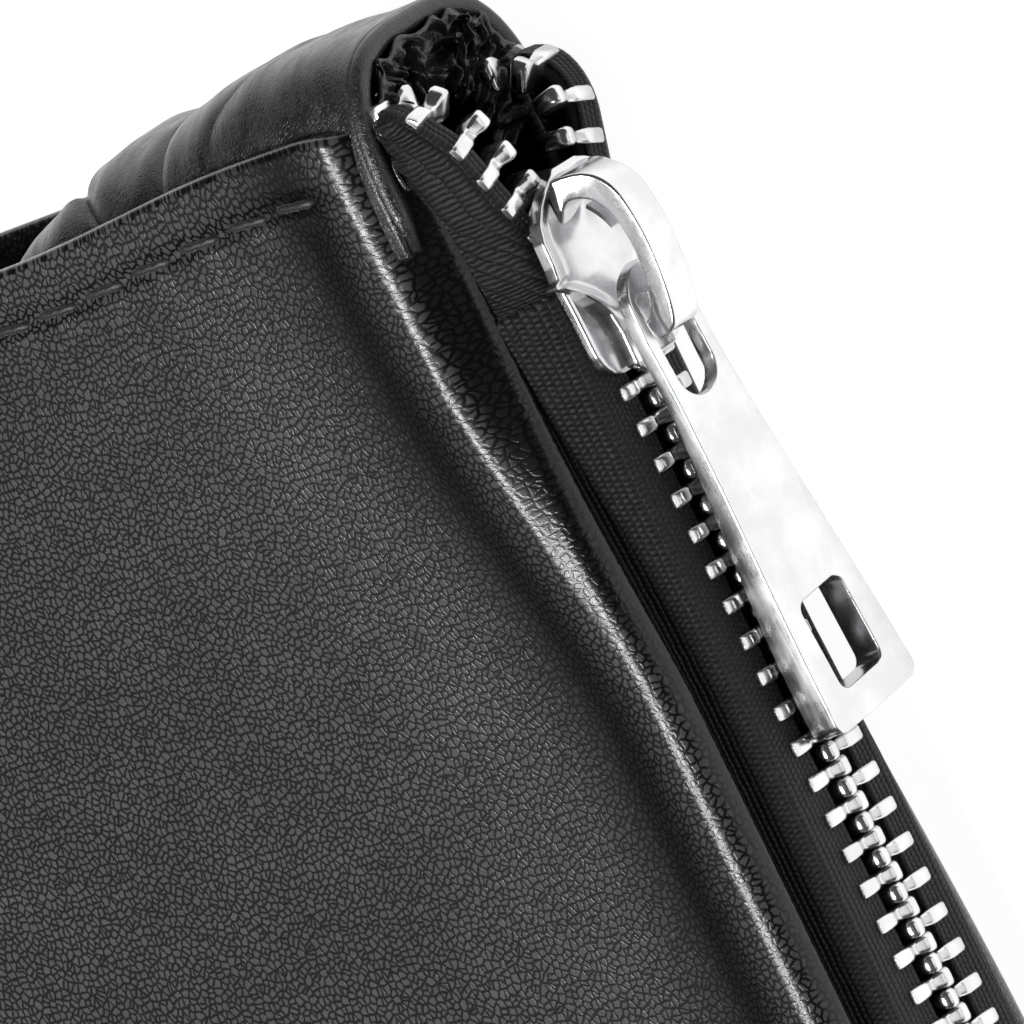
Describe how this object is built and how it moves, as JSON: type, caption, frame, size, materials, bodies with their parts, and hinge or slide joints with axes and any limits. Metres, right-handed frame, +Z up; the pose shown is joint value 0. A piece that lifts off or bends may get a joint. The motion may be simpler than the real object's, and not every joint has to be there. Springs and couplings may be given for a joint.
{
  "type": "long wallet",
  "caption": "Flat long wallet with a metal zip along one long side, soft end gussets, card slots and a zipped coin leaf inside.",
  "frame": {"origin": "middle of the rear panel's outer face, which the wallet lies on", "axes": "+X along the zip towards its closed end, +Y from the zip side to the spine, +Z up through the front panel"},
  "size_m": [0.1994, 0.1051, 0.019],
  "materials": {
    "outer_leather": "pebbled black leather, semi-gloss",
    "inner_leather": "smooth black leather",
    "gusset_leather": "thin soft black leather, wrinkled",
    "lining": "black woven lining",
    "zip_tape": "black woven twill tape",
    "teeth": "bright plated metal",
    "polished_metal": "polished plated metal",
    "brushed_metal": "fine brushed plated metal"
  },
  "bodies": {
    "rear_shell": {"rear_panel": "outer_leather", "rear_lining": "lining", "card_panel": "inner_leather", "card_slot_1": "inner_leather", "card_slot_2": "inner_leather", "card_slot_3": "inner_leather", "top_gusset": "gusset_leather", "top_gusset_hem": "gusset_leather", "bottom_gusset": "gusset_leather", "bottom_gusset_hem": "gusset_leather", "rear_zip_tape": "zip_tape", "rear_tape_end": "zip_tape", "rear_tooth_row": "teeth", "rear_top_stop": "teeth", "bottom_stop": "teeth"},
    "front_shell": {"front_panel": "outer_leather", "front_lining": "lining", "slip_pocket": "inner_leather", "front_zip_tape": "zip_tape", "front_tape_end": "zip_tape", "front_tooth_row": "teeth", "front_top_stop": "teeth"},
    "coin_leaf": {"coin_pocket_rear_wall": "inner_leather", "coin_pocket_front_wall": "inner_leather", "coin_pocket_top_band": "inner_leather", "coin_zip_tape_upper": "zip_tape", "coin_zip_tape_lower": "zip_tape", "coin_tooth_row_upper": "teeth", "coin_tooth_row_lower": "teeth", "coin_zip_stop_closed": "teeth", "coin_zip_stop_open": "teeth"},
    "zip_slider": {"slider_body": "polished_metal", "slider_crown": "polished_metal", "slider_lock_spring": "polished_metal"},
    "zip_puller": {"puller": "brushed_metal"},
    "coin_slider": {"coin_slider_body": "polished_metal", "coin_slider_crown": "polished_metal"},
    "coin_zip_puller": {"coin_puller": "brushed_metal"}
  },
  "joints": [
    {"name": "wallet_open", "type": "hinge", "parent": "rear_shell", "child": "front_shell", "pos_m": [0, 0.04835, 0.0095], "axis": [-1, 0, 0], "range_deg": [0, 32], "deforming": ["top_gusset", "top_gusset_hem", "bottom_gusset", "bottom_gusset_hem"]},
    {"name": "leaf_swing", "type": "hinge", "parent": "rear_shell", "child": "coin_leaf", "pos_m": [0, 0.04835, 0.0095], "axis": [-1, 0, 0], "range_deg": [0, 16]},
    {"name": "zip_slide", "type": "slide", "parent": "rear_shell", "child": "zip_slider", "axis": [-1, 0, 0], "range_m": [0, 0.16], "deforming": ["rear_tooth_row", "front_tooth_row", "rear_zip_tape", "front_zip_tape", "rear_tape_end", "front_tape_end"]},
    {"name": "puller_swing", "type": "hinge", "parent": "zip_slider", "child": "zip_puller", "pos_m": [0.0789, -0.0533, 0.009], "axis": [0, 0, 1], "range_deg": [0, 150]},
    {"name": "coin_zip_slide", "type": "slide", "parent": "coin_leaf", "child": "coin_slider", "axis": [1, 0, 0], "range_m": [0, 0.132]},
    {"name": "coin_puller_swing", "type": "hinge", "parent": "coin_slider", "child": "coin_zip_puller", "pos_m": [-0.0648, -0.033, 0.01335], "axis": [0, -1, 0], "range_deg": [0, 64]}
  ],
  "couplings": [
    {"joint": "leaf_swing", "follows": "wallet_open", "ratio": 0.5},
    {"joint": "zip_slide", "follows": "wallet_open", "m_per_rad": 0.2864},
    {"joint": "coin_puller_swing", "follows": "wallet_open", "ratio": 2}
  ]
}
